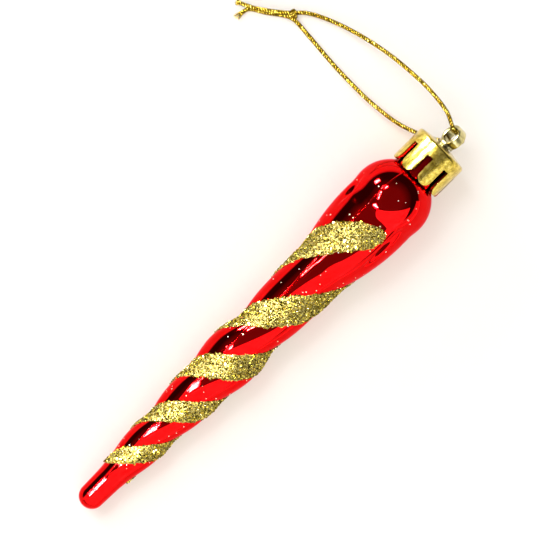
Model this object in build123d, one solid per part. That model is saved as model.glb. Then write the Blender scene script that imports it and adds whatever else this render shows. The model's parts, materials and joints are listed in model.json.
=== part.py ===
from build123d import *
import math
import os

# Icicle hanging ornament, lying on a surface. Millimetres, +Z up, +X from the tip to the cap.
# The body, cap and eyelet are modelled on their own axis, which is local Z, measured from the tip.
# Local angles start at row +Y and grow towards +Z. The whole is then laid down on its head and a strand.

# Moulded body: plain tip, twisted part, head and neck
wall = 0.8
tip_radius = 3.3
rod_radius = 3.55
rod_length = 12.0
head_radius = 10.25
head_half_length = 10.15
head_distance = 108.0
neck_radius = 6.35
neck_room = 0.3

# Twist: two round strands side by side, turning about the axis with a growing pitch
twist_start = 10.7
quarter_pitch = 7.6
pitch_power = 5
first_turn = -0.3
last_turn = 9.635
turns_per_section = 1 / 3
groove_angle = -22.0
crease_softness = 0.12
strand_points = 8
# Along the twist: quarter turns, radius of one strand there, offset of its centre from the axis
strand_turns = (-0.355, 0.303, 1.289, 2.274, 3.249, 4.2, 5.392, 6.405, 7.369, 8.181, 8.555, 8.928, 9.27, 9.635)
strand_radii = (3.15, 3.8, 4.2, 4.35, 5.0, 5.7, 5.95, 5.6, 6.0, 7.05, 7.9, 8.45, 8.75, 8.8)
strand_offsets = (0.0, 0.35, 0.8, 1.0, 0.95, 1.0, 1.45, 1.5, 1.2, 1.15, 1.2, 1.25, 1.25, 1.2)

# Glitter crust along both grooves: half widths in degrees round the axis, ends in quarter turns
glitter_thickness = 0.4
glitter_seat = 0.35
glitter_half_width = 44.0
glitter_head_half_width = 30.0
glitter_first_turn = 0.1
glitter_head_distance = 6.65
glitter_rounding = 0.45
glitter_narrowing = 1.5

# Crown cap: eight fingers stand round the neck, and the crown closes it
cap_fit = 0.12
cap_wall = 0.9
cap_height = 10.6
cap_seat_gap = 0.35
crown_wall = 0.9
crown_rise = 0.7
crown_flat_radius = 2.6
crown_edge_round = 0.9
finger_count = 8
slot_width = 1.85
slot_length = 6.5
slot_angle = 40.0

# Eyelet that turns in the cap
eyelet_radius = 3.0
eyelet_hole_radius = 2.0
eyelet_thickness = 2.7
eyelet_angle = 35.0
eyelet_edge_round = 0.35
stem_radius = 1.4
stem_clearance = 0.08
collar_radius = 2.1
collar_height = 0.7
foot_radius = 2.3
foot_thickness = 0.8
foot_chamfer = 0.4
foot_split = 0.5
turning_gap = 0.15

# The way the ornament lies: local angle of the surface, in degrees from the start of the twist
down_angle = 450.0

# Hanging cord, tied into a loop through the eyelet
cord_radius = 0.525
knot_radius = 1.1
knot_turn_radius = 0.7
knot_turn_tilt = 35.0
# Route points near the eyelet: X, Y and Z from the eyelet's centre
upper_from_eyelet = (
    (1.3, 1.0, 0.7),
    (1.7, 2.7, 1.9),
    (3.0, 5.2, 1.6),
    (3.9, 9.0, 0.4),
    (4.4, 13.4, -1.3),
    (4.2, 18.2, -3.3),
    (3.7, 23.2, -5.3),
)
lower_from_eyelet = (
    (1.2, -1.0, -0.7),
    (1.1, -2.4, -2.5),
    (0.5, -2.0, -5.2),
    (-0.9, -0.3, -7.5),
    (-3.4, 3.0, -8.5),
    (-5.4, 7.9, -8.3),
    (-7.3, 12.9, -8.2),
)
# Route points further out: X and Y from the eyelet's centre, and the height over the surface
upper_lying = (
    (2.8, 28.2, 4.6),
    (1.4, 33.4, 3.0),
    (-0.2, 39.0, 1.8),
    (-2.4, 44.6, 1.1),
    (-4.4, 48.0, 0.95),
    (-6.2, 50.3, 1.25),
)
lower_lying = (
    (-8.2, 21.3, 2.9),
    (-8.5, 26.8, 1.9),
    (-8.7, 32.6, 1.2),
    (-8.3, 38.6, 0.8),
    (-7.6, 44.8, 0.75),
    (-6.6, 49.9, 1.25),
)
tail_upper_lying = (
    (-6.0, 50.6, 1.25),
    (-8.1, 53.1, 0.9),
    (-10.4, 56.1, 0.56),
    (-12.3, 58.9, 0.6),
    (-13.9, 61.4, 0.7),
)
tail_lower_lying = (
    (-6.9, 49.8, 1.25),
    (-9.3, 52.0, 0.9),
    (-11.6, 54.8, 0.56),
    (-13.8, 57.3, 0.6),
    (-16.9, 59.1, 0.75),
)


# The pitch grows so that the last turn ends at the middle of the head
pitch_growth = (head_distance - twist_start - quarter_pitch * last_turn) / last_turn**pitch_power
last_pitch = quarter_pitch + pitch_power * pitch_growth * last_turn ** (pitch_power - 1)
glitter_last_turn = last_turn - glitter_head_distance / last_pitch


def interpolate(turn, values):
    """Smooth value at a number of quarter turns, by cubic pieces between the given values."""
    last = len(strand_turns) - 1
    low = max(i for i in range(last) if i == 0 or strand_turns[i] <= turn)
    high = low + 1
    before, after = max(low - 1, 0), min(high + 1, last)
    span = strand_turns[high] - strand_turns[low]
    share = (turn - strand_turns[low]) / span
    slope_low = (values[high] - values[before]) / (strand_turns[high] - strand_turns[before]) * span
    slope_high = (values[after] - values[low]) / (strand_turns[after] - strand_turns[low]) * span
    return (
        (2 * share**3 - 3 * share**2 + 1) * values[low]
        + (share**3 - 2 * share**2 + share) * slope_low
        + (3 * share**2 - 2 * share**3) * values[high]
        + (share**3 - share**2) * slope_high
    )


def turn_distance(turn):
    """Distance from the tip at a number of quarter turns."""
    return twist_start + quarter_pitch * turn + pitch_growth * turn**pitch_power


def strand_surface(turn, from_groove):
    """Radius of the twisted skin at an angle in degrees from the groove."""
    radius = interpolate(turn, strand_radii)
    offset = interpolate(turn, strand_offsets)
    across = math.sin(math.radians(from_groove))
    along = math.cos(math.radians(from_groove))
    swell = offset * math.hypot(across, crease_softness)
    return swell + math.sqrt(radius**2 - (offset * along) ** 2)


def skin_point(turn, from_groove, depth):
    """Point on the twisted skin, or at a depth under it."""
    angle = math.radians(groove_angle + 90 * turn + from_groove)
    radius = strand_surface(turn, from_groove) - depth
    return Vector(radius * math.cos(angle), radius * math.sin(angle), turn_distance(turn))


def steps(first, last, size):
    """Evenly spaced values from first to last, no further apart than size."""
    count = math.ceil((last - first) / size)
    return [first + (last - first) * i / count for i in range(count + 1)]


def twisted_solid(depth):
    """The two twisted strands as one solid, at a depth under the skin: each side of the
    section runs over one strand, from groove to groove."""
    shares = [i / strand_points for i in range(strand_points + 1)]
    sections = []
    for turn in steps(first_turn, last_turn, turns_per_section):
        sides = []
        for groove in (0, 180):
            points = [skin_point(turn, groove + 180 * share, depth) for share in shares]
            sides.append(Edge.make_spline(points, parameters=shares))
        sections.append(Wire(sides))
    return Solid.make_loft(sections)


def turned(*edges):
    """A closed profile in the local XZ plane, turned about the axis."""
    return revolve(make_face(Plane.XZ * Curve(children=list(edges))), Axis.Z)


def tip_solid(depth):
    """The plain tip: a round end and a slightly tapered rod, at a depth under the skin."""
    end = rod_radius - depth
    side = tip_radius - depth
    return turned(
        Line((0, depth), (0, rod_length)),
        Line((0, rod_length), (end, rod_length)),
        Line((end, rod_length), (side, tip_radius)),
        RadiusArc((side, tip_radius), (0, depth), side),
    )


def head_solid(depth):
    """The round head, slightly longer than it is wide, at a depth under the skin."""
    half_length = head_half_length - depth
    return turned(
        EllipticalCenterArc((0, head_distance), head_radius - depth, half_length, -90, arc_size=180),
        Line((0, head_distance - half_length), (0, head_distance + half_length)),
    )


def axial_cylinder(radius, low, high):
    """A cylinder about the axis between two distances from the tip."""
    return Pos(0, 0, low) * Cylinder(radius, high - low, align=(Align.CENTER, Align.CENTER, Align.MIN))


cap_inner_radius = neck_radius + cap_fit
cap_radius = cap_inner_radius + cap_wall
cap_bottom = (
    head_distance
    + head_half_length * math.sqrt(1 - (cap_inner_radius / head_radius) ** 2)
    + cap_seat_gap
)
cap_top = cap_bottom + cap_height
crown_inside = cap_top - crown_wall
neck_top = crown_inside - crown_rise - neck_room
stem_hole_radius = stem_radius + stem_clearance
eyelet_distance = cap_top + turning_gap + eyelet_radius


def body_shell():
    """Hollow body with an even wall, open at the neck."""
    outside = twisted_solid(0) + tip_solid(0) + head_solid(0)
    outside += axial_cylinder(neck_radius, head_distance, neck_top)
    inside = twisted_solid(wall) + tip_solid(wall) + head_solid(wall)
    inside += axial_cylinder(neck_radius - wall, head_distance, neck_top + wall)
    return outside - inside


def glitter_half_angle(turn):
    """Half the crust's width in degrees: narrower towards the head, rounded off at both ends."""
    narrowing = min(max((turn - glitter_last_turn + glitter_narrowing) / glitter_narrowing, 0), 1)
    width = glitter_half_width + (glitter_head_half_width - glitter_half_width) * narrowing
    from_end = min(turn - glitter_first_turn, glitter_last_turn - turn)
    rounding = min(max(1 - from_end / glitter_rounding, 0), 0.985)
    return width * math.sqrt(1 - rounding**2)


def glitter_band(body, groove):
    """Crust of even thickness on the skin beside one groove, cut to the body's surface."""
    first, last = glitter_first_turn, glitter_last_turn
    ends = [glitter_rounding * share for share in (0, 0.12, 0.35, 0.65)]
    middle = steps(first + glitter_rounding, last - glitter_rounding, turns_per_section)
    sections = []
    for turn in [first + end for end in ends] + middle + [last - end for end in reversed(ends)]:
        half = glitter_half_angle(turn)
        angles = [-groove_angle - half + 2 * half * i / 6 for i in range(7)]
        shares = [i / 6 for i in range(7)]
        top = [skin_point(turn, groove + angle, -glitter_thickness) for angle in angles]
        bottom = [skin_point(turn, groove + angle, glitter_seat) for angle in reversed(angles)]
        outline = Wire(
            [
                Edge.make_spline(top, parameters=shares),
                Edge.make_line(top[-1], bottom[0]),
                Edge.make_spline(bottom, parameters=shares),
                Edge.make_line(bottom[-1], top[0]),
            ]
        )
        sections.append(outline)
    return Solid.make_loft(sections) - body


def cap_solid():
    """Crown cap: turned cup with a hole in its crown, and slots that leave round-ended fingers."""
    edge = cap_top - crown_rise
    outer = FilletPolyline(
        (cap_radius, cap_bottom), (cap_radius, edge), (crown_flat_radius, cap_top), radius=crown_edge_round
    )
    cup = turned(
        outer,
        Line((crown_flat_radius, cap_top), (stem_hole_radius, cap_top)),
        Line((stem_hole_radius, cap_top), (stem_hole_radius, crown_inside)),
        Line((stem_hole_radius, crown_inside), (cap_inner_radius, edge - crown_wall)),
        Line((cap_inner_radius, edge - crown_wall), (cap_inner_radius, cap_bottom)),
        Line((cap_inner_radius, cap_bottom), (cap_radius, cap_bottom)),
    )
    half_pitch = cap_radius * math.sin(math.pi / finger_count)
    half_slot = slot_width / 2
    round_end = half_pitch - half_slot
    slot = make_face(
        Curve(
            children=[
                Line((-half_pitch, -1), (half_pitch, -1)),
                Line((half_pitch, -1), (half_pitch, 0)),
                RadiusArc((half_pitch, 0), (half_slot, round_end), round_end),
                Line((half_slot, round_end), (half_slot, slot_length)),
                Line((half_slot, slot_length), (-half_slot, slot_length)),
                Line((-half_slot, slot_length), (-half_slot, round_end)),
                RadiusArc((-half_slot, round_end), (-half_pitch, 0), round_end),
                Line((-half_pitch, 0), (-half_pitch, -1)),
            ]
        )
    )
    cutter = extrude(Plane((0, 0, cap_bottom), x_dir=(0, 1, 0), z_dir=(1, 0, 0)) * slot, cap_radius + 1)
    for i in range(finger_count):
        cup -= Rot(0, 0, slot_angle + 360 * i / finger_count) * cutter
    return cup


def eyelet_solid():
    """Thick ring on a stem, whose split foot snaps through the cap's hole and turns in it."""
    across = Plane((0, 0, eyelet_distance), x_dir=(0, 0, 1), z_dir=(1, 0, 0))
    ring = Cylinder(eyelet_radius, eyelet_thickness) - Cylinder(eyelet_hole_radius, eyelet_thickness)
    ring = fillet(ring.edges().filter_by(GeomType.CIRCLE), eyelet_edge_round)
    ring = Rot(0, 0, eyelet_angle) * across.location * ring
    foot_top = crown_inside - turning_gap
    foot_bottom = foot_top - foot_thickness
    foot = axial_cylinder(foot_radius, foot_bottom, foot_top)
    foot = chamfer(foot.edges().group_by(Axis.Z)[0], foot_chamfer)
    collar = axial_cylinder(collar_radius, cap_top + turning_gap, cap_top + turning_gap + collar_height)
    stem = axial_cylinder(stem_radius, foot_bottom, cap_top + turning_gap + collar_height)
    split_height = crown_inside - foot_bottom
    split = Box(foot_split, 3 * foot_radius, split_height, align=(Align.CENTER, Align.CENTER, Align.MIN))
    return ring + collar + (stem + foot - Pos(0, 0, foot_bottom) * split)


def cord_tube(name, points):
    """Round cord along straight runs joined by tangent arcs, each as large as its runs allow."""
    radii = []
    for before, corner, after in zip(points, points[1:], points[2:]):
        incoming, outgoing = corner - before, after - corner
        half_turn = math.radians(incoming.get_angle(outgoing)) / 2
        radii.append(0.45 * min(incoming.length, outgoing.length) / math.tan(half_turn))
    path = FilletPolyline(*points, radius=radii)
    start = Plane(points[0], z_dir=points[1] - points[0])
    tube = sweep(start * Circle(cord_radius), path=path)
    volume = math.pi * cord_radius**2 * path.length
    print(name, "length", round(path.length, 1), "radii", [round(radius, 1) for radius in radii])
    print(name, "volume over section by length", round(tube.volume / volume, 4))
    return tube


def knot_solid(centre):
    """Overhand knot: a core with two crossed turns of cord round it."""
    turn = Rot(90, 0, 0) * Torus(knot_turn_radius, cord_radius)
    knot = Sphere(knot_radius)
    for tilt in (-knot_turn_tilt, knot_turn_tilt):
        knot += Rot(0, 0, tilt) * turn
    return Pos(*centre) * knot


def main():
    # The body lies on its head and on the edge of the crust that faces down about half way along
    resting_turn = (down_angle - glitter_half_width) / 90
    resting_distance = turn_distance(resting_turn)
    crust_edge = glitter_half_width - groove_angle
    resting_radius = strand_surface(resting_turn, crust_edge) + glitter_thickness
    slope = math.asin((head_radius - resting_radius) / (head_distance - resting_distance))
    lying = Plane((0, 0, 0), x_dir=(0, 1, 0), z_dir=(math.cos(slope), 0, math.sin(slope)))

    shell = body_shell()
    nodes = {
        "body_shell": shell,
        "glitter_band_a": glitter_band(shell, 0),
        "glitter_band_b": glitter_band(shell, 180),
        "cap": cap_solid(),
        "eyelet": eyelet_solid(),
    }
    nodes = {name: lying.location * solid for name, solid in nodes.items()}
    box = Compound(children=[Part(solid.wrapped) for solid in nodes.values()]).bounding_box()
    shift = Vector(-box.center().X, -box.center().Y, -box.min.Z)
    nodes = {name: Pos(*shift) * solid for name, solid in nodes.items()}
    eyelet_centre = lying.from_local_coords(Vector(0, 0, eyelet_distance)) + shift
    print("slope", math.degrees(slope), "shift", shift, "eyelet centre", eyelet_centre)

    def near(points):
        return [eyelet_centre + Vector(*point) for point in points]

    def lying_down(points):
        return [Vector(eyelet_centre.X + x, eyelet_centre.Y + y, height) for x, y, height in points]

    upper = near(upper_from_eyelet) + lying_down(upper_lying)
    lower = near(lower_from_eyelet) + lying_down(lower_lying)
    knot = knot_solid((upper[-1] + lower[-1]) / 2)
    loop = cord_tube("cord_loop", list(reversed(upper)) + lower)
    nodes["cord_knot"] = knot
    nodes["cord_loop"] = loop - knot
    nodes["cord_tail_upper"] = cord_tube("cord_tail_upper", lying_down(tail_upper_lying)) - knot
    nodes["cord_tail_lower"] = cord_tube("cord_tail_lower", lying_down(tail_lower_lying)) - knot

    os.makedirs("parts", exist_ok=True)
    for name, solid in nodes.items():
        export_step(solid, f"parts/{name}.step")


main()
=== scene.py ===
"""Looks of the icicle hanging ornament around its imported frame.

Sizes are in millimetres and angles in degrees, unless named otherwise.
"""

import json
import math
import random

import bpy
import numpy as np
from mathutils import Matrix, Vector


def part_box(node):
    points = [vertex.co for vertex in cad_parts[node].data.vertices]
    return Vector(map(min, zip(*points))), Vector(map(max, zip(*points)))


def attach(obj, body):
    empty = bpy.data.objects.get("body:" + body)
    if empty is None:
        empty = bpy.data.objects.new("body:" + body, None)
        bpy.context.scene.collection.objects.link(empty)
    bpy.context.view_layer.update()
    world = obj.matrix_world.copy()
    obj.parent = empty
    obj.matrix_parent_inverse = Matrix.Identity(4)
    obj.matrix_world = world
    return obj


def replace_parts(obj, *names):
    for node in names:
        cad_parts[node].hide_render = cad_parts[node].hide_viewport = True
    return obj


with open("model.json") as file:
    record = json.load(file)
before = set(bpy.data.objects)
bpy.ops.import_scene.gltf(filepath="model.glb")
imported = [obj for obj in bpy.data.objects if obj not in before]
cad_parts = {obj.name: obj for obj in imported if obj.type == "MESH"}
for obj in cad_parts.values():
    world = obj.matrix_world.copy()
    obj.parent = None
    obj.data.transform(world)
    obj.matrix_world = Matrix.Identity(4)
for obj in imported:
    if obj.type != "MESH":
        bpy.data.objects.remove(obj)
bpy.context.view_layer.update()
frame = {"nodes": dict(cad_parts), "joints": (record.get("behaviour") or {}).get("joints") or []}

MM = 0.001
random_source = random.Random(11)

# The ornament's own axis, from the joints: local Z runs from the tip to the eyelet, local X is row +Y
joints = {joint["name"]: joint for joint in frame["joints"]}
AXIS = np.array(joints["cap_pull"]["axis"], float)
AXIS /= np.linalg.norm(AXIS)
SIDE = np.array((0.0, 1.0, 0.0))
UP = np.cross(AXIS, SIDE)
EYELET_CENTRE = np.array(joints["eyelet_swivel"]["pos_m"], float)

# Body sizes, as in the part's source
wall = 0.8
tip_radius = 3.3
rod_radius = 3.55
rod_length = 12.0
head_radius = 10.25
head_half_length = 10.15
head_distance = 108.0
neck_radius = 6.35
neck_room = 0.3
twist_start = 10.7
quarter_pitch = 7.6
pitch_power = 5
first_turn = -0.3
last_turn = 9.635
groove_angle = -22.0
crease_softness = 0.12
# Quarter turns along the twist, with each strand's radius and its centre's offset from the axis there
strand_turns = (
    -0.355, 0.303, 1.289, 2.274, 3.249, 4.2, 5.392, 6.405, 7.369, 8.181, 8.555, 8.928, 9.27, 9.635
)
strand_radii = (3.15, 3.8, 4.2, 4.35, 5.0, 5.7, 5.95, 5.6, 6.0, 7.05, 7.9, 8.45, 8.75, 8.8)
strand_offsets = (0.0, 0.35, 0.8, 1.0, 0.95, 1.0, 1.45, 1.5, 1.2, 1.15, 1.2, 1.25, 1.25, 1.2)
glitter_half_width = 44.0
glitter_head_half_width = 30.0
glitter_first_turn = 0.1
glitter_head_distance = 6.65
glitter_rounding = 0.45
glitter_narrowing = 1.5
glitter_thickness = 0.4
glitter_seat = 0.35
cap_fit = 0.12
cap_height = 10.6
cap_seat_gap = 0.35
crown_wall = 0.9
crown_rise = 0.7
turning_gap = 0.15
eyelet_radius = 3.0

# Samples from which a distance is turned back into quarter turns
turn_margin = 0.1
turn_samples = 2000

pitch_growth = (head_distance - twist_start - quarter_pitch * last_turn) / last_turn**pitch_power
last_pitch = quarter_pitch + pitch_power * pitch_growth * last_turn ** (pitch_power - 1)
glitter_last_turn = last_turn - glitter_head_distance / last_pitch
cap_bottom = (
    head_distance
    + head_half_length * math.sqrt(1 - ((neck_radius + cap_fit) / head_radius) ** 2)
    + cap_seat_gap
)
cap_top = cap_bottom + cap_height
neck_top = cap_top - crown_wall - crown_rise - neck_room
eyelet_distance = cap_top + turning_gap + eyelet_radius

# Finer features of the body's skin
rod_crease = 0.2
head_crease = 0.4
neck_crease = 0.3
neck_relief = 0.45
# Distance, angle, half length, half width and depth of each pinch; the side towards the top is steeper
head_dents = ((98.3, 138.0, 4.6, 1.0, 1.0), (102.9, 27.0, 3.0, 1.4, 0.95), (102.7, 52.0, 1.3, 3.6, 0.22))
dent_steepness = 0.5
seam_angles = (70.0, 250.0)
seam_height = 0.095
seam_width = 0.15
skin_step = 0.33
skin_columns = 216
seam_columns = (0.35, 0.7, 1.1, 1.6, 2.3, 3.2)
tip_ring_angle = 4
rim_ring_angle = 30
rim_rise = 0.25 * wall
inner_rings = 90
inner_rim_depth = 1.0
inner_tip_gap = 0.4
smallest_inner_radius = 0.3

# Glitter crusts: a wave of their edges is (height, radians in a quarter turn, share of the seed), and
# a wave of their lumps is (radians in a quarter turn, radians in a radian across, share of the seed)
glitter_tip_turns = (1.0, 3.5)
glitter_tip_share = 0.86
edge_waves = ((0.035, 9.1, 1.0), (0.03, 23.7, 2.1), (0.025, 51.3, 3.7))
lump_waves = ((17, 5, 1), (41, -13, 2), (73, 29, 3))
crust_mean = 0.62
crust_lumpiness = 0.22
crust_edge_power = 5
crust_rings = 420
crust_columns = 25
crust_end_gap = 0.01

# Flakes: sizes are shares of the flake's radius, and overhangs are shares of the crust's half width
flake_count = 15000
flake_radius = 0.21
flake_sizes = (0.75, 1.25)
flake_thickness = 0.02
flake_tilt = 36.0
flake_rise = 0.12
flake_overhangs = (0.98, 1, 1.04)
flake_corners = 6
stray_count = 240
stray_radius = 0.15
stray_sizes = (0.6, 1.3)
stray_tilt = 6
stray_rise = 0.03
stray_span = (14, 115)
# Small steps over the surface, which give the flakes' normals
turn_step = 0.01
share_step = 0.02
distance_step = 0.05
angle_step = 0.5

# Cord: control points of the part's route, moved towards the photograph. They are offsets from
# the eyelet's centre, but the lying ones have their height over the table as the third number
cord_diameter = 1.05
through_eyelet = (1.25, 0.0, 0.0)
upper_from_eyelet = (
    (1.3, 1.0, 0.7),
    (1.8, 2.6, 1.9),
    (3.2, 5.1, 1.6),
    (3.9, 9.0, 0.4),
    (4.3, 13.4, -1.3),
    (4.2, 18.2, -3.3),
    (3.9, 23.2, -5.3),
)
lower_from_eyelet = (
    (1.2, -1.0, -0.7),
    (1.1, -2.4, -2.5),
    (0.5, -2.0, -5.2),
    (-0.9, -0.3, -7.5),
    (-3.4, 3.0, -8.5),
    (-5.6, 7.8, -8.3),
    (-7.3, 12.9, -8.2),
)
upper_lying = (
    (3.2, 28.3, 4.6),
    (2.1, 33.6, 3.0),
    (0.5, 39.2, 1.8),
    (-1.8, 44.9, 1.1),
    (-3.9, 48.4, 0.95),
    (-6.2, 50.3, 1.25),
)
lower_lying = (
    (-8.2, 21.3, 2.9),
    (-8.2, 26.8, 1.9),
    (-8.1, 32.6, 1.2),
    (-7.7, 38.5, 0.8),
    (-7.2, 44.7, 0.75),
    (-6.9, 49.5, 1.25),
)
tail_upper_lying = (
    (-8.4, 52.9, 1.5),
    (-10.6, 55.8, 1.68),
    (-12.5, 58.6, 1.6),
    (-13.8, 61.6, 0.9),
)
tail_lower_lying = (
    (-8.8, 52.5, 0.75),
    (-11.0, 55.3, 0.63),
    (-12.8, 58.6, 0.63),
    (-14.2, 59.3, 0.65),
    (-15.4, 59.4, 0.75),
)

# Yarn: plies wound round a core. Only their crests are as wide as the cord, so it is drawn a little fuller
cord_fullness = 1.1
core_radius = 0.42
ply_count = 2
ply_lay = 1.36
ply_radius = 0.21
ply_sides = 14
filament_count = 5
filament_depth = 0.08
filament_twist = -2.6
ring_spacing = 0.08
frayed_filaments = 30
filament_radius = 0.06
upper_tuft = (1.6, 0.4)
lower_tuft = (2.8, 0.6)
tuft_root = 0.3
tuft_flatness = 0.55
tuft_bow = 1.6
tuft_points = 7
knot_size = 0.34
knot_height = 0.45
knot_strand = 0.9
knot_points = 161
knot_floor_gap = 0.02

# Camera: the picture's width and centre are measured at its height over the table
picture_width = 139.2
picture_centre = (8.0, 5.2)
picture_height = 8.0
camera_roll = 45.24
lens = 300.0
sensor = 36.0


# ---------------------------------------------------------------- helpers


def to_row(points):
    """Local points in millimetres as row points in metres."""
    points = np.asarray(points, float)
    return (
        EYELET_CENTRE
        + MM * points[:, :1] * SIDE
        + MM * points[:, 1:2] * UP
        + MM * (points[:, 2:] - eyelet_distance) * AXIS
    )


def on_axis(radius, angle, distance):
    """Row points at a radius, an angle in degrees and a distance from the tip."""
    radius, angle, distance = np.broadcast_arrays(radius, np.radians(angle), distance)
    local = np.stack([radius * np.cos(angle), radius * np.sin(angle), distance], axis=-1)
    return to_row(local.reshape(-1, 3))


def mesh_piece(name, points, faces, material, body, slot, smooth=True, relief=None):
    """A mesh object that rides on a body; relief is a value for each point, for the material."""
    mesh = bpy.data.meshes.new(name)
    mesh.from_pydata([tuple(point) for point in points], [], faces)
    mesh.polygons.foreach_set("use_smooth", [smooth] * len(mesh.polygons))
    mesh.materials.append(material)
    mesh.update()
    if relief is not None:
        mesh.attributes.new("relief", "FLOAT", "POINT").data.foreach_set("value", relief)
    piece = bpy.data.objects.new(name, mesh)
    bpy.context.scene.collection.objects.link(piece)
    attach(piece, body)
    return piece


def ring_faces(rows, columns, start=0):
    """Quads between closed rings of points."""
    faces = []
    for row in range(rows - 1):
        low = start + row * columns
        for column in range(columns):
            beside = (column + 1) % columns
            faces.append((low + column, low + beside, low + columns + beside, low + columns + column))
    return faces


# ---------------------------------------------------------------- shape of the body


def turn_distance(turn):
    """Distance from the tip at a number of quarter turns."""
    return twist_start + quarter_pitch * turn + pitch_growth * turn**pitch_power


def turn_at(distance):
    """Number of quarter turns at a distance from the tip."""
    turns = np.linspace(first_turn - turn_margin, last_turn + turn_margin, turn_samples)
    return np.interp(distance, turn_distance(turns), turns)


def interpolate(turn, values):
    """Smooth value at a number of quarter turns, by cubic pieces between the given values."""
    at, values = np.array(strand_turns), np.array(values)
    last = len(at) - 1
    low = np.clip(np.searchsorted(at, turn, side="right") - 1, 0, last - 1)
    high = low + 1
    before, after = np.maximum(low - 1, 0), np.minimum(high + 1, last)
    span = at[high] - at[low]
    share = (turn - at[low]) / span
    slope_low = (values[high] - values[before]) / (at[high] - at[before]) * span
    slope_high = (values[after] - values[low]) / (at[after] - at[low]) * span
    return (
        (2 * share**3 - 3 * share**2 + 1) * values[low]
        + (share**3 - 2 * share**2 + share) * slope_low
        + (3 * share**2 - 2 * share**3) * values[high]
        + (share**3 - share**2) * slope_high
    )


def smooth_maximum(a, b, width):
    """The larger of two values, rounded where they are within a width of each other."""
    near = np.maximum(width - np.abs(a - b), 0) / width
    return np.maximum(a, b) + near**2 * width / 4


def skin_radius(distance, angle):
    """Radius of the body's skin at a distance from the tip and an angle in degrees."""
    distance, angle = np.broadcast_arrays(np.asarray(distance, float), np.asarray(angle, float))
    turn = turn_at(distance)
    from_groove = np.radians(angle - groove_angle - 90 * turn)
    radius, offset = interpolate(turn, strand_radii), interpolate(turn, strand_offsets)
    strands = offset * np.hypot(np.sin(from_groove), crease_softness)
    strands = strands + np.sqrt(radius**2 - (offset * np.cos(from_groove)) ** 2)
    strands = np.where((distance < turn_distance(first_turn)) | (distance > head_distance), 0, strands)
    end = np.sqrt(np.maximum(tip_radius**2 - (tip_radius - np.minimum(distance, tip_radius)) ** 2, 0))
    taper = (rod_radius - tip_radius) * (distance - tip_radius) / (rod_length - tip_radius)
    rod = np.where(distance < tip_radius, end, tip_radius + taper)
    rod = np.where(distance > rod_length, 0, rod)
    along = np.clip((distance - head_distance) / head_half_length, -1, 1)
    head = head_radius * np.sqrt(1 - along**2)
    neck = np.where(distance > head_distance, neck_radius - neck_relief, 0)
    skin = smooth_maximum(rod, strands, rod_crease)
    skin = smooth_maximum(skin, head, head_crease)
    return smooth_maximum(skin, neck, neck_crease)


def dent_depth(distance, angle):
    """Depth of the pinches where the two strands run out beside the head."""
    depth = 0
    for middle, dent_angle, half_length, half_width, deepest in head_dents:
        along = (distance - middle) / half_length
        across = head_radius * np.radians((angle - dent_angle + 180) % 360 - 180) / half_width
        upward = across * (90 - dent_angle) > 0
        across = np.where(upward, across / dent_steepness, across)
        depth = depth + deepest * np.exp(-(along**2) - across**2)
    return depth


def seam_rise(radius, angle):
    """Height of the fine parting line that the mould left."""
    rise = 0
    for seam in seam_angles:
        across = radius * np.radians((angle - seam + 180) % 360 - 180)
        rise = rise + seam_height * np.exp(-((across / seam_width) ** 2))
    return rise


def skin_angles():
    """Angles round the body, closer together beside the parting line."""
    angles = {round(360 * i / skin_columns, 4) for i in range(skin_columns)}
    angles |= {seam + sign * step for seam in seam_angles for step in seam_columns for sign in (-1, 1)}
    return np.array(sorted(angles | set(seam_angles)))


def build_body(material):
    """The moulded body: outer skin, neck rim and inner skin as one closed mesh."""
    angles = skin_angles()
    columns = len(angles)
    tip_angles = range(tip_ring_angle, 90, tip_ring_angle)
    round_end = [tip_radius * (1 - math.cos(math.radians(angle))) for angle in tip_angles]
    steps = math.ceil((neck_top - tip_radius) / skin_step)
    outer = round_end + [tip_radius + (neck_top - tip_radius) * i / steps for i in range(steps)]
    rings = []
    for distance in outer:
        radius = skin_radius(distance, angles)
        radius = radius + seam_rise(radius, angles) - dent_depth(distance, angles)
        rings.append(on_axis(radius, angles, distance))
    middle = neck_radius - neck_relief - wall / 2
    for rim_angle in range(0, 180 + rim_ring_angle, rim_ring_angle):
        turned = math.radians(rim_angle)
        radius = middle + wall / 2 * math.cos(turned)
        rings.append(on_axis(radius, angles, neck_top + rim_rise * math.sin(turned)))
    for distance in np.linspace(neck_top - inner_rim_depth, wall + inner_tip_gap, inner_rings):
        radius = skin_radius(distance, angles) - dent_depth(distance, angles) - wall
        rings.append(on_axis(np.maximum(radius, smallest_inner_radius), angles, distance))
    points = np.concatenate(rings)
    faces = ring_faces(len(rings), columns)
    first, last = len(points), len(points) + 1
    final = (len(rings) - 1) * columns
    points = np.concatenate([points, on_axis(0, 0, 0), on_axis(0, 0, wall)])
    faces += [(first, (i + 1) % columns, i) for i in range(columns)]
    faces += [(last, final + i, final + (i + 1) % columns) for i in range(columns)]
    body = mesh_piece("moulded_body", points, faces, material, "ornament", "body_red")
    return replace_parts(body, "body_shell")


# ---------------------------------------------------------------- glitter


def glitter_half_angle(turn):
    """Half the crust's width in degrees."""
    narrowing = np.clip((turn - glitter_last_turn + glitter_narrowing) / glitter_narrowing, 0, 1)
    width = glitter_half_width + (glitter_head_half_width - glitter_half_width) * narrowing
    width = width * np.interp(turn, glitter_tip_turns, (glitter_tip_share, 1))
    from_end = np.minimum(turn - glitter_first_turn, glitter_last_turn - turn)
    rounding = np.clip(1 - from_end / glitter_rounding, 0, 1)
    return width * np.sqrt(1 - rounding**2)


def ragged(turn, seed):
    """Uneven edge of a brushed-on stripe of glue."""
    return sum(height * np.sin(rate * turn + share * seed) for height, rate, share in edge_waves)


def lumps(turn, angle, seed):
    """Uneven thickness of the crust, from -1 to 1."""
    angle = np.radians(angle)
    waves = [np.sin(along * turn + across * angle + share * seed) for along, across, share in lump_waves]
    return sum(waves) / len(waves)


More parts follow.
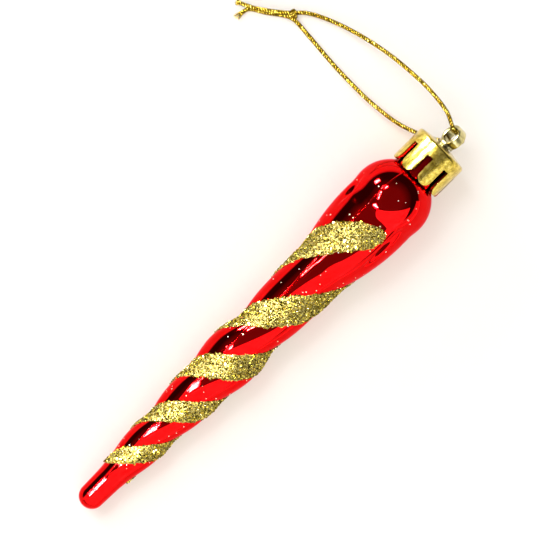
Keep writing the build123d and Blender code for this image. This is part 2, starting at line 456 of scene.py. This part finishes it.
def crust_point(turn, share, groove, height):
    """Point over the skin on a crust: share runs from -1 to 1 across it."""
    half = glitter_half_angle(turn) * (1 + ragged(turn, groove + np.sign(share)))
    angle = 90 * turn + groove + half * share
    distance = turn_distance(turn)
    return on_axis(skin_radius(distance, angle) + height, angle, distance)


def crust_height(turn, share, groove):
    """Thickness of the crust, thin at its edges."""
    edge = np.sqrt(np.clip(1 - np.abs(share) ** crust_edge_power, 0, 1))
    return glitter_thickness * edge * (crust_mean + crust_lumpiness * lumps(turn, 90 * share, groove))


def build_crust(name, node, groove, material):
    """The glue crust that holds the flakes."""
    turns = np.linspace(glitter_first_turn + crust_end_gap, glitter_last_turn - crust_end_gap, crust_rings)
    shares = np.linspace(-1, 1, crust_columns)
    columns = 2 * crust_columns
    rings = []
    for turn in turns:
        top = crust_point(turn, shares, groove, crust_height(turn, shares, groove))
        bottom = crust_point(turn, shares[::-1], groove, -glitter_seat)
        rings.append(np.concatenate([top, bottom]))
    faces = ring_faces(len(rings), columns)
    faces.append(tuple(range(columns - 1, -1, -1)))
    faces.append(tuple((len(rings) - 1) * columns + i for i in range(columns)))
    crust = mesh_piece(name, np.concatenate(rings), faces, material, "ornament", "glitter")
    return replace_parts(crust, node)


def flake_faces(index):
    """Closed faces of one flake: its top, its underside and its sides."""
    low = 2 * flake_corners * index
    high = low + flake_corners
    corners = range(flake_corners)
    beside = [(i + 1) % flake_corners for i in corners]
    faces = [tuple(high + i for i in corners), tuple(high - 1 - i for i in corners)]
    return faces + [(low + i, low + beside[i], high + beside[i], high + i) for i in corners]


def flake_points(centres, normals, radii, tilt):
    """Corners of six-sided flakes, each tilted at random from the surface's normal."""
    across = (0.31, 0.57, 0.76)
    step = 2 * math.pi / flake_corners
    points = []
    for centre, normal, radius in zip(centres, normals, radii):
        lean = np.array([random_source.gauss(0, math.tan(math.radians(tilt))) for _ in range(3)])
        facing = normal + lean - normal * (lean @ normal)
        facing /= np.linalg.norm(facing)
        first = np.cross(facing, across)
        first /= np.linalg.norm(first)
        second = np.cross(facing, first)
        spin = random_source.uniform(0, step)
        for side in (-0.5, 0.5):
            for corner in range(flake_corners):
                angle = spin + corner * step
                point = centre + facing * side * flake_thickness * MM
                point = point + radius * MM * (math.cos(angle) * first + math.sin(angle) * second)
                points.append(point)
    return np.array(points)


def surface_normals(position):
    """Places and outward normals of a surface given by position(first step, second step)."""
    centre = position(0, 0)
    normal = np.cross(position(0, 1) - centre, position(1, 0) - centre)
    normal /= np.linalg.norm(normal, axis=1, keepdims=True)
    return centre, normal


def flake_piece(name, position, radii, tilt, material):
    """Flakes on a surface as one piece, without those that would reach into the table."""
    flakes = flake_points(*surface_normals(position), radii, tilt).reshape(-1, 2 * flake_corners, 3)
    flakes = flakes[flakes[:, :, 2].min(axis=1) > 0]
    faces = [face for index in range(len(flakes)) for face in flake_faces(index)]
    return mesh_piece(name, flakes.reshape(-1, 3), faces, material, "ornament", "glitter", smooth=False)


def build_flakes(name, groove, count, material):
    """Hexagonal flakes stuck all over one crust."""
    turns, shares = [], []
    widest = head_radius * glitter_half_width * last_pitch
    while len(turns) < count:
        turn = random_source.uniform(glitter_first_turn, glitter_last_turn)
        pitch = quarter_pitch + pitch_power * pitch_growth * turn ** (pitch_power - 1)
        radius = float(interpolate(turn, strand_radii))
        area = radius * pitch * float(glitter_half_angle(turn))
        if random_source.random() * widest < area:
            turns.append(turn)
            shares.append(random_source.uniform(-1, 1) * random_source.choice(flake_overhangs))
    turns, shares = np.array(turns), np.array(shares)
    rise = np.array([random_source.uniform(0.0, flake_rise) for _ in turns])

    def position(first, second):
        at, across = turns + turn_step * first, shares + share_step * second
        height = crust_height(at, np.clip(across, -1, 1), groove) + rise
        return crust_point(at, across, groove, height)

    radii = [flake_radius * random_source.uniform(*flake_sizes) for _ in turns]
    return flake_piece(name, position, radii, flake_tilt, material)


def build_strays(material):
    """Single flakes that stuck to the bare skin."""
    distances = np.array([random_source.uniform(*stray_span) for _ in range(stray_count)])
    angles = np.array([random_source.uniform(0, 360) for _ in range(stray_count)])

    def position(first, second):
        at, angle = distances + distance_step * first, angles + angle_step * second
        return on_axis(skin_radius(at, angle) + stray_rise, angle, at)

    radii = [stray_radius * random_source.uniform(*stray_sizes) for _ in distances]
    return flake_piece("stray_flakes", position, radii, stray_tilt, material)


# ---------------------------------------------------------------- cord


def route(near, lying, tail):
    """Control points of one half of the cord in metres, from the eyelet to its tail's end."""
    points = [EYELET_CENTRE + MM * np.array(p) for p in (through_eyelet, *near)]
    for x, y, height in (*lying, *tail):
        points.append(np.array((EYELET_CENTRE[0] + MM * x, EYELET_CENTRE[1] + MM * y, MM * height)))
    return points


def spline_points(name, controls):
    """Evenly spaced points read from the NURBS spline through a route."""
    curve = bpy.data.curves.new(name, "CURVE")
    curve.dimensions = "3D"
    curve.resolution_u = 24
    spline = curve.splines.new("NURBS")
    spline.points.add(len(controls) - 1)
    for point, control in zip(spline.points, controls):
        point.co = (*control, 1)
    spline.order_u = 3
    spline.use_endpoint_u = True
    holder = bpy.data.objects.new(name, curve)
    bpy.context.scene.collection.objects.link(holder)
    bpy.context.view_layer.update()
    evaluated = holder.evaluated_get(bpy.context.evaluated_depsgraph_get())
    mesh = bpy.data.meshes.new_from_object(evaluated)
    read = np.array([vertex.co for vertex in mesh.vertices])
    bpy.data.objects.remove(holder)
    bpy.data.meshes.remove(mesh)
    return evenly_spaced(read, ring_spacing * MM)


def evenly_spaced(points, spacing):
    """The same line with evenly spaced points."""
    along = distances_along(points)
    count = max(int(along[-1] / spacing), 2)
    at = np.linspace(0, along[-1], count + 1)
    return np.stack([np.interp(at, along, points[:, i]) for i in range(3)], axis=1)


def distances_along(line):
    """Length of a line up to each of its points."""
    return np.concatenate([[0], np.cumsum(np.linalg.norm(np.diff(line, axis=0), axis=1))])


def carried_frames(points, start):
    """Two normals along a line, without twist."""
    tangents = np.gradient(points, axis=0)
    tangents /= np.linalg.norm(tangents, axis=1, keepdims=True)
    normal = np.array(start, float)
    firsts = []
    for tangent in tangents:
        normal = normal - tangent * (normal @ tangent)
        normal /= np.linalg.norm(normal)
        firsts.append(normal)
    firsts = np.array(firsts)
    return firsts, np.cross(tangents, firsts)


def tube_rings(line, radius, sides, start, ridges=0, ridge_depth=0.0, twist=0.0):
    """Rings of a tube along a line; ridges run along it like filaments."""
    angles = np.linspace(0, 2 * np.pi, sides, endpoint=False)
    rings = []
    for point, first, second, at in zip(line, *carried_frames(line, start), distances_along(line)):
        local = radius * (1 + ridge_depth * np.cos(ridges * (angles + twist * at / MM)))
        out = np.outer(local * np.cos(angles), first)
        rings.append(point + out + np.outer(local * np.sin(angles), second))
    return rings


def capped_tube(rings):
    """Points and faces of a closed tube."""
    sides = len(rings[0])
    points = np.concatenate(rings)
    faces = ring_faces(len(rings), sides)
    faces.append(tuple(range(sides - 1, -1, -1)))
    faces.append(tuple((len(rings) - 1) * sides + i for i in range(sides)))
    return points, faces


def joined(parts):
    """Points and faces of several meshes as one."""
    points, faces, start = [], [], 0
    for part_points, part_faces in parts:
        points.append(part_points)
        faces += [tuple(index + start for index in face) for face in part_faces]
        start += len(part_points)
    return np.concatenate(points), faces


def plies_along(line, diameter, start):
    """A core with twisted plies wound round it, each ridged by its filaments.

    Also gives each point's relief: its distance from the line as a share of the radius."""
    radius = diameter / 2 * MM
    scale = radius / (cord_diameter / 2)
    firsts, seconds = carried_frames(line, start)
    core = tube_rings(line, core_radius * scale, ply_sides, start)
    parts, reliefs = [capped_tube(core)], [np.full(len(line) * ply_sides, core_radius * scale / radius)]
    offset = radius - ply_radius * scale
    ridges = (filament_count, filament_depth, filament_twist)
    for index in range(ply_count):
        angle = 2 * np.pi * (index / ply_count + distances_along(line) / (ply_lay * MM))
        helix = line + offset * (np.cos(angle)[:, None] * firsts + np.sin(angle)[:, None] * seconds)
        rings = tube_rings(helix, ply_radius * scale, ply_sides, start, *ridges)
        parts.append(capped_tube(rings))
        distances = [np.linalg.norm(ring - point, axis=1) for ring, point in zip(rings, line)]
        reliefs.append(np.concatenate(distances) / radius)
    return parts, np.concatenate(reliefs)


def frayed_tuft(line, start, length, width):
    """Loose filaments that fan out over a length and a width at the cord's end."""
    tangent = line[-1] - line[-4]
    tangent /= np.linalg.norm(tangent)
    first = np.cross(tangent, (0, 0, 1))
    first /= np.linalg.norm(first)
    second = np.cross(first, tangent)
    parts = []
    for filament in range(frayed_filaments):
        angle = 2 * math.pi * filament / frayed_filaments + random_source.uniform(-0.3, 0.3)
        reach = length * MM * random_source.uniform(0.6, 1.2)
        spread = width * MM * random_source.uniform(0.4, 1.2)
        curl = random_source.uniform(-0.3, 0.3) * MM
        out = math.cos(angle) * first + tuft_flatness * math.sin(angle) * second
        steps = np.linspace(0, 1, tuft_points)[:, None]
        points = line[-1] - 0.5 * length * MM * tangent + tuft_root * MM * out + steps * reach * tangent
        points = points + steps**tuft_bow * spread * out + steps**2 * curl * first
        points[:, 2] = np.maximum(points[:, 2], filament_radius * MM)
        parts.append(capped_tube(tube_rings(points, filament_radius * MM, 6, start)))
    return parts


def build_cord(name, nodes, stretches, tuft_size, material):
    """Half of the hanging cord, from inside the eyelet through the knot to its frayed end."""
    line = spline_points(name, route(*stretches))
    start = (1.0, 0.0, 0.0)
    parts, relief = plies_along(line, cord_fullness * cord_diameter, start)
    cord = mesh_piece(name, *joined(parts), material, "hanger", "cord_gold", relief=relief)
    points, faces = joined(frayed_tuft(line, start, *tuft_size))
    relief = np.ones(len(points))
    tuft = mesh_piece(name + "_frayed_end", points, faces, material, "hanger", "cord_gold", relief=relief)
    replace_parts(cord, *nodes)
    return cord


def build_knot(material):
    """Overhand knot drawn tight: a trefoil, in which the cord crosses itself three times."""
    low, high = (np.array(corner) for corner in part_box("cord_knot"))
    turned = np.linspace(0, 2 * np.pi, knot_points)
    line = np.stack(
        [
            knot_size * MM * (np.sin(turned) + 2 * np.sin(2 * turned)),
            knot_size * MM * (np.cos(turned) - 2 * np.cos(2 * turned)),
            -knot_height * MM * np.sin(3 * turned),
        ],
        axis=1,
    )
    parts, relief = plies_along((low + high) / 2 + line, knot_strand, (0, 0, 1))
    points, faces = joined(parts)
    points[:, 2] = np.maximum(points[:, 2], knot_floor_gap * MM)
    knot = mesh_piece("overhand_knot", points, faces, material, "hanger", "cord_gold", relief=relief)
    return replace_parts(knot, "cord_knot")


# ---------------------------------------------------------------- cap and eyelet


def softened_copy(node, name, body, material, width):
    """The CAD piece with its sharp edges rounded, as a moulded one has."""
    source = frame["nodes"][node]
    mesh = source.data.copy()
    mesh.materials.clear()
    mesh.materials.append(material)
    piece = bpy.data.objects.new(name, mesh)
    bpy.context.scene.collection.objects.link(piece)
    weld = piece.modifiers.new("weld", "WELD")
    weld.merge_threshold = 0.002 * MM
    bevel = piece.modifiers.new("rounding", "BEVEL")
    bevel.limit_method = "ANGLE"
    bevel.angle_limit = math.radians(35)
    bevel.width = width * MM
    bevel.segments = 3
    bevel.use_clamp_overlap = True
    piece.data.shade_smooth()
    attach(piece, body)
    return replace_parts(piece, node)


# ---------------------------------------------------------------- materials


def new_material(name):
    """A material with its nodes, links and shader."""
    material = bpy.data.materials.new(name)
    material.use_nodes = True
    nodes, links = material.node_tree.nodes, material.node_tree.links
    return material, nodes, links, nodes["Principled BSDF"]


def set_inputs(shader, **values):
    """Sets a shader's inputs by their names, with underscores for spaces."""
    for name, value in values.items():
        shader.inputs[name.replace("_", " ")].default_value = value


def noise_node(nodes, links, scale, detail=2.0, roughness=0.5):
    """Noise over the object's own coordinates; scale counts features per metre."""
    place = nodes.new("ShaderNodeTexCoord")
    noise = nodes.new("ShaderNodeTexNoise")
    noise.inputs["Scale"].default_value = scale
    noise.inputs["Detail"].default_value = detail
    noise.inputs["Roughness"].default_value = roughness
    links.new(place.outputs["Object"], noise.inputs["Vector"])
    return noise


def ramp_node(nodes, links, factor, *stops):
    """Colour ramp over a factor; stops are (place, colour)."""
    ramp = nodes.new("ShaderNodeValToRGB")
    elements = ramp.color_ramp.elements
    while len(elements) < len(stops):
        elements.new(0.5)
    for element, (place, colour) in zip(elements, stops):
        element.position = place
        element.color = (*colour, 1)
    links.new(factor, ramp.inputs["Fac"])
    return ramp


def add_bump(nodes, links, shader, height, distance, strength):
    """Relief on a shader; distance is in metres."""
    bump = nodes.new("ShaderNodeBump")
    bump.inputs["Distance"].default_value = distance
    bump.inputs["Strength"].default_value = strength
    links.new(height, bump.inputs["Height"])
    links.new(bump.outputs["Normal"], shader.inputs["Normal"])


def vary_roughness(nodes, links, shader, factor, low, high):
    """Roughness that follows a factor between two values."""
    rough = nodes.new("ShaderNodeMapRange")
    rough.inputs["To Min"].default_value = low
    rough.inputs["To Max"].default_value = high
    links.new(factor, rough.inputs["Value"])
    links.new(rough.outputs["Result"], shader.inputs["Roughness"])


def multiplied(nodes, links, first, second):
    """Product of two colours."""
    product = nodes.new("ShaderNodeMix")
    product.data_type = "RGBA"
    product.blend_type = "MULTIPLY"
    product.inputs["Factor"].default_value = 1.0
    links.new(first, product.inputs["A"])
    links.new(second, product.inputs["B"])
    return product.outputs["Result"]


def painted_corner_shade(nodes, links, colour, reach, darkest, open_from):
    """The colour with painted shade: darker where other faces stand close by; reach is in metres."""
    corner = nodes.new("ShaderNodeAmbientOcclusion")
    corner.samples = 8
    corner.inputs["Distance"].default_value = reach
    shade = ramp_node(nodes, links, corner.outputs["AO"], (0.25, (darkest,) * 3), (open_from, (1, 1, 1)))
    return multiplied(nodes, links, colour, shade.outputs["Color"])


def red_material():
    """Mirror-bright metallised plastic under a clear red lacquer."""
    material, nodes, links, shader = new_material("red_metallised_plastic")
    set_inputs(shader, Metallic=1.0, Coat_Weight=0.1, Coat_Roughness=0.02, Coat_IOR=1.5)
    set_inputs(shader, Specular_Tint=(1, 0.04, 0.3, 1))
    cloud = noise_node(nodes, links, 90, 3)
    tone = ramp_node(nodes, links, cloud.outputs["Fac"], (0.3, (0.7, 0.0, 0.0)), (0.7, (0.78, 0.0, 0.001)))
    # Painted shade: the red is darkened where other faces stand close, as on the neck beside the head and
    # inside the cap.
    colour = painted_corner_shade(nodes, links, tone.outputs["Color"], 2.5 * MM, 0.02, 0.8)
    links.new(colour, shader.inputs["Base Color"])
    haze = noise_node(nodes, links, 450, 4)
    vary_roughness(nodes, links, shader, haze.outputs["Fac"], 0.02, 0.07)
    ripple = noise_node(nodes, links, 160, 1)
    add_bump(nodes, links, shader, ripple.outputs["Fac"], 0.00008, 0.25)
    return material


def flake_material(name, dark, middle, pale, roughness, metallic):
    """Gold foil flakes, each with its own tone."""
    material, nodes, links, shader = new_material(name)
    set_inputs(shader, Metallic=metallic, Roughness=roughness, Specular_IOR_Level=0.15)
    set_inputs(shader, Specular_Tint=(1, 0.85, 0.4, 1))
    geometry = nodes.new("ShaderNodeNewGeometry")
    tone = ramp_node(
        nodes, links, geometry.outputs["Random Per Island"], (0.2, dark), (0.55, middle), (0.85, pale)
    )
    links.new(tone.outputs["Color"], shader.inputs["Base Color"])
    return material


def crust_material():
    """Glue with fine gold dust in it, seen between the flakes."""
    material, nodes, links, shader = new_material("gold_dust_glue")
    set_inputs(shader, Metallic=0.6, Roughness=0.42)
    grain = noise_node(nodes, links, 3800, 2)
    tone = ramp_node(
        nodes,
        links,
        grain.outputs["Fac"],
        (0.4, (0.05, 0.035, 0.004)),
        (0.52, (0.3, 0.23, 0.04)),
        (0.66, (0.66, 0.56, 0.16)),
    )
    links.new(tone.outputs["Color"], shader.inputs["Base Color"])
    add_bump(nodes, links, shader, grain.outputs["Fac"], 0.0002, 0.8)
    return material


def cap_material():
    """Pale gold metallised plastic with a frosted, finely pitted face."""
    material, nodes, links, shader = new_material("frosted_gold_plastic")
    set_inputs(shader, Metallic=1.0, Coat_Weight=0.3, Coat_Roughness=0.12, Coat_IOR=1.6)
    cloud = noise_node(nodes, links, 900, 5, 0.7)
    tone = ramp_node(
        nodes,
        links,
        cloud.outputs["Fac"],
        (0.34, (0.34, 0.23, 0.015)),
        (0.5, (0.64, 0.47, 0.06)),
        (0.68, (0.92, 0.74, 0.2)),
    )
    # Painted shade: the gold is darkened in the slots and other recesses where faces stand close.
    colour = painted_corner_shade(nodes, links, tone.outputs["Color"], 1.2 * MM, 0.08, 0.75)
    links.new(colour, shader.inputs["Base Color"])
    pits = noise_node(nodes, links, 2600, 3, 0.65)
    vary_roughness(nodes, links, shader, pits.outputs["Fac"], 0.12, 0.3)
    add_bump(nodes, links, shader, pits.outputs["Fac"], 0.00006, 0.6)
    return material


def eyelet_material():
    """Smooth silvery gold."""
    material, nodes, links, shader = new_material("silvery_gold_plastic")
    set_inputs(shader, Metallic=1.0, Coat_Weight=0.4, Coat_Roughness=0.05)
    cloud = noise_node(nodes, links, 500, 2)
    tones = ((0.3, (0.5, 0.42, 0.15)), (0.7, (0.76, 0.67, 0.33)))
    tone = ramp_node(nodes, links, cloud.outputs["Fac"], *tones)
    # Painted shade: the gold is darkened strongly in the ring's bore and other close corners.
    colour = painted_corner_shade(nodes, links, tone.outputs["Color"], 3.0 * MM, 0.02, 0.95)
    links.new(colour, shader.inputs["Base Color"])
    vary_roughness(nodes, links, shader, cloud.outputs["Fac"], 0.1, 0.24)
    return material


def cord_material():
    """Yarn with bright foil on the crests of its plies and matt between them, where its colour is darkened
    to brown as painted shade.
    """
    material, nodes, links, shader = new_material("gold_foil_yarn")
    set_inputs(shader, Roughness=0.26, Specular_Tint=(0.62, 0.42, 0.04, 1), Specular_IOR_Level=0.0)
    fleck = noise_node(nodes, links, 2200, 3)
    tone = ramp_node(
        nodes,
        links,
        fleck.outputs["Fac"],
        (0.36, (0.06, 0.03, 0.0)),
        (0.5, (0.27, 0.175, 0.006)),
        (0.64, (0.9, 0.72, 0.11)),
    )
    relief = nodes.new("ShaderNodeAttribute")
    relief.attribute_name = "relief"
    # Painted shade: the colour is darkened towards brown where the surface lies deep between the plies.
    shade = ramp_node(nodes, links, relief.outputs["Fac"], (0.78, (0.2, 0.095, 0.0)), (0.96, (1, 1, 1)))
    colour = multiplied(nodes, links, tone.outputs["Color"], shade.outputs["Color"])
    links.new(colour, shader.inputs["Base Color"])
    foil = ramp_node(nodes, links, relief.outputs["Fac"], (0.84, (0, 0, 0)), (0.94, (1, 1, 1)))
    links.new(foil.outputs["Color"], shader.inputs["Metallic"])
    add_bump(nodes, links, shader, fleck.outputs["Fac"], 0.0001, 0.5)
    return material


# ---------------------------------------------------------------- stage


def build_floor():
    """White table: seen as plain white, and still darker in the object's shadow."""
    half = 4.0
    glow_share = 0.35
    corners = [(-half, -half, 0), (half, -half, 0), (half, half, 0), (-half, half, 0)]
    mesh = bpy.data.meshes.new("table")
    mesh.from_pydata(corners, [], [(0, 1, 2, 3)])
    floor = bpy.data.objects.new("table", mesh)
    bpy.context.scene.collection.objects.link(floor)
    material, nodes, links, shader = new_material("white_table")
    set_inputs(shader, Base_Color=(0.93, 0.91, 0.89, 1), Roughness=0.9, Specular_IOR_Level=0.1)
    glow = nodes.new("ShaderNodeEmission")
    glow.inputs["Color"].default_value = (1, 0.88, 0.74, 1)
    path = nodes.new("ShaderNodeLightPath")
    seen = nodes.new("ShaderNodeMath")
    seen.operation = "MAXIMUM"
    links.new(path.outputs["Is Camera Ray"], seen.inputs[0])
    links.new(path.outputs["Is Glossy Ray"], seen.inputs[1])
    share = nodes.new("ShaderNodeMath")
    share.operation = "MULTIPLY"
    share.inputs[1].default_value = glow_share
    links.new(seen.outputs[0], share.inputs[0])
    mix = nodes.new("ShaderNodeMixShader")
    links.new(share.outputs[0], mix.inputs["Fac"])
    links.new(shader.outputs["BSDF"], mix.inputs[1])
    links.new(glow.outputs["Emission"], mix.inputs[2])
    links.new(mix.outputs["Shader"], nodes["Material Output"].inputs["Surface"])
    mesh.materials.append(material)


def build_world():
    """A dim room with a pale band round the horizon."""
    world = bpy.data.worlds.new("room")
    world.use_nodes = True
    nodes, links = world.node_tree.nodes, world.node_tree.links
    place = nodes.new("ShaderNodeTexCoord")
    split = nodes.new("ShaderNodeSeparateXYZ")
    links.new(place.outputs["Generated"], split.inputs["Vector"])
    ramp = ramp_node(
        nodes,
        links,
        split.outputs["Z"],
        (0.04, (0.9, 0.9, 0.9)),
        (0.1, (0.03, 0.03, 0.035)),
        (0.48, (0.03, 0.03, 0.035)),
        (0.7, (0.13, 0.13, 0.13)),
        (0.85, (0.22, 0.21, 0.21)),
    )
    links.new(ramp.outputs["Color"], nodes["Background"].inputs["Color"])
    bpy.context.scene.world = world


def toward(turned, off_zenith, distance):
    """Place at a distance in metres, turned clockwise from the picture's top and off the zenith."""
    heading = math.radians(camera_roll - turned)
    tilt = math.radians(off_zenith)
    flat = distance * math.sin(tilt)
    return (flat * math.cos(heading), flat * math.sin(heading), distance * math.cos(tilt))


def new_lamp(name, place, size, radiance, colour=(1, 1, 1)):
    """A rectangular lamp that the camera doesn't see; its place and size are in metres."""
    light = bpy.data.lights.new(name, "AREA")
    light.shape = "RECTANGLE"
    light.size, light.size_y = size
    light.energy = radiance * math.pi * size[0] * size[1]
    light.color = colour
    lamp = bpy.data.objects.new(name, light)
    bpy.context.scene.collection.objects.link(lamp)
    lamp.location = place
    lamp.visible_camera = False
    return lamp


def aimed_lamp(name, place, size, radiance, colour=(1, 1, 1), glossy=True, diffuse=True, level=False):
    """A lamp that faces the object, or stands upright where level."""
    lamp = new_lamp(name, place, size, radiance, colour)
    target = np.array((0.0, 0.0, place[2] if level else 0.01))
    lamp.rotation_mode = "QUATERNION"
    lamp.rotation_quaternion = Vector(np.array(place) - target).to_track_quat("Z", "Y")
    lamp.visible_glossy = glossy
    lamp.visible_diffuse = diffuse


def white_card():
    """A white card held flat over the picture's lower edge, which only the shiny pieces show."""
    turn = math.radians(camera_roll - 90)
    right, up, height = -0.176, -0.757, 0.15
    x = right * math.cos(turn) - up * math.sin(turn)
    y = right * math.sin(turn) + up * math.cos(turn)
    card = new_lamp("white_card", (x, y, height), (0.85, 1.4), 1.7)
    card.rotation_euler = (0, 0, turn)
    card.visible_diffuse = False


def build_lights():
    """Key lamps at the upper left with their glints, soft fill, and pale walls and a card below."""
    warm = (1, 0.98, 0.95)
    aimed_lamp("key", toward(-36, 67, 0.92), (0.22, 0.16), 16, (0.85, 0.93, 1), glossy=False)
    aimed_lamp("key_glint", toward(-33, 67, 0.9), (0.18, 0.12), 220, diffuse=False)
    aimed_lamp("strip_glint", toward(-24, 37, 0.9), (0.3, 0.035), 330, diffuse=False)
    aimed_lamp("long_strip_glint", toward(-64, 33, 0.9), (0.36, 0.022), 330, diffuse=False)
    aimed_lamp("near_glint", (-0.076, 0.042, 0.125), (0.045, 0.03), 220, diffuse=False)
    aimed_lamp("soft_key", toward(-45, 36, 1.0), (0.6, 0.6), 4.9, (0.85, 0.94, 1), glossy=False)
    aimed_lamp("fill", (0.0, 0.0, 1.2), (1.6, 1.6), 1.25, (1, 0.96, 0.92), glossy=False)
    aimed_lamp("pale_wall", toward(180, 48, 0.74), (2.6, 0.98), 1.4, warm, glossy=False, level=True)
    aimed_lamp("low_wall", toward(135, 80.5, 1.25), (2.4, 0.4), 1.2, warm, diffuse=False, level=True)
    white_card()


def build_camera():
    """Straight above the picture's centre, turned so that the ornament points up to the right."""
    data = bpy.data.cameras.new("camera")
    data.lens, data.sensor_width = lens, sensor
    camera = bpy.data.objects.new("camera", data)
    bpy.context.scene.collection.objects.link(camera)
    distance = picture_width * MM * lens / sensor
    camera.location = (picture_centre[0] * MM, picture_centre[1] * MM, distance + picture_height * MM)
    camera.rotation_euler = (0, 0, math.radians(camera_roll - 90))
    data.clip_start, data.clip_end = 0.01, 20
    bpy.context.scene.camera = camera


# ---------------------------------------------------------------- the whole

red = red_material()
gold_tones = ((0.08, 0.058, 0.002), (0.56, 0.44, 0.04), (0.88, 0.74, 0.18))
pale_tones = ((0.8, 0.7, 0.45), (0.95, 0.85, 0.7), (1, 0.95, 0.9))
gold_flakes = flake_material("gold_foil_flakes", *gold_tones, roughness=0.12, metallic=0.75)
pale_flakes = flake_material("pale_foil_flakes", *pale_tones, roughness=0.35, metallic=0.3)
glue = crust_material()
yarn = cord_material()

build_camera()
knot = build_knot(yarn)
build_cord(
    "cord_upper",
    ("cord_loop", "cord_tail_upper"),
    (upper_from_eyelet, upper_lying, tail_upper_lying),
    upper_tuft,
    yarn,
)
build_cord(
    "cord_lower",
    ("cord_loop", "cord_tail_lower"),
    (lower_from_eyelet, lower_lying, tail_lower_lying),
    lower_tuft,
    yarn,
)

build_body(red)
for letter, groove in (("a", 0), ("b", 180)):
    build_crust(f"glitter_glue_{letter}", f"glitter_band_{letter}", groove, glue)
    build_flakes(f"glitter_flakes_{letter}", groove, flake_count // 2, gold_flakes)
build_strays(pale_flakes)

softened_copy("cap", "crown_cap_shell", "crown_cap", cap_material(), 0.2)
softened_copy("eyelet", "turning_eyelet", "hanger", eyelet_material(), 0.12)

build_floor()
build_world()
build_lights()
bpy.context.scene.view_settings.view_transform = "Standard"
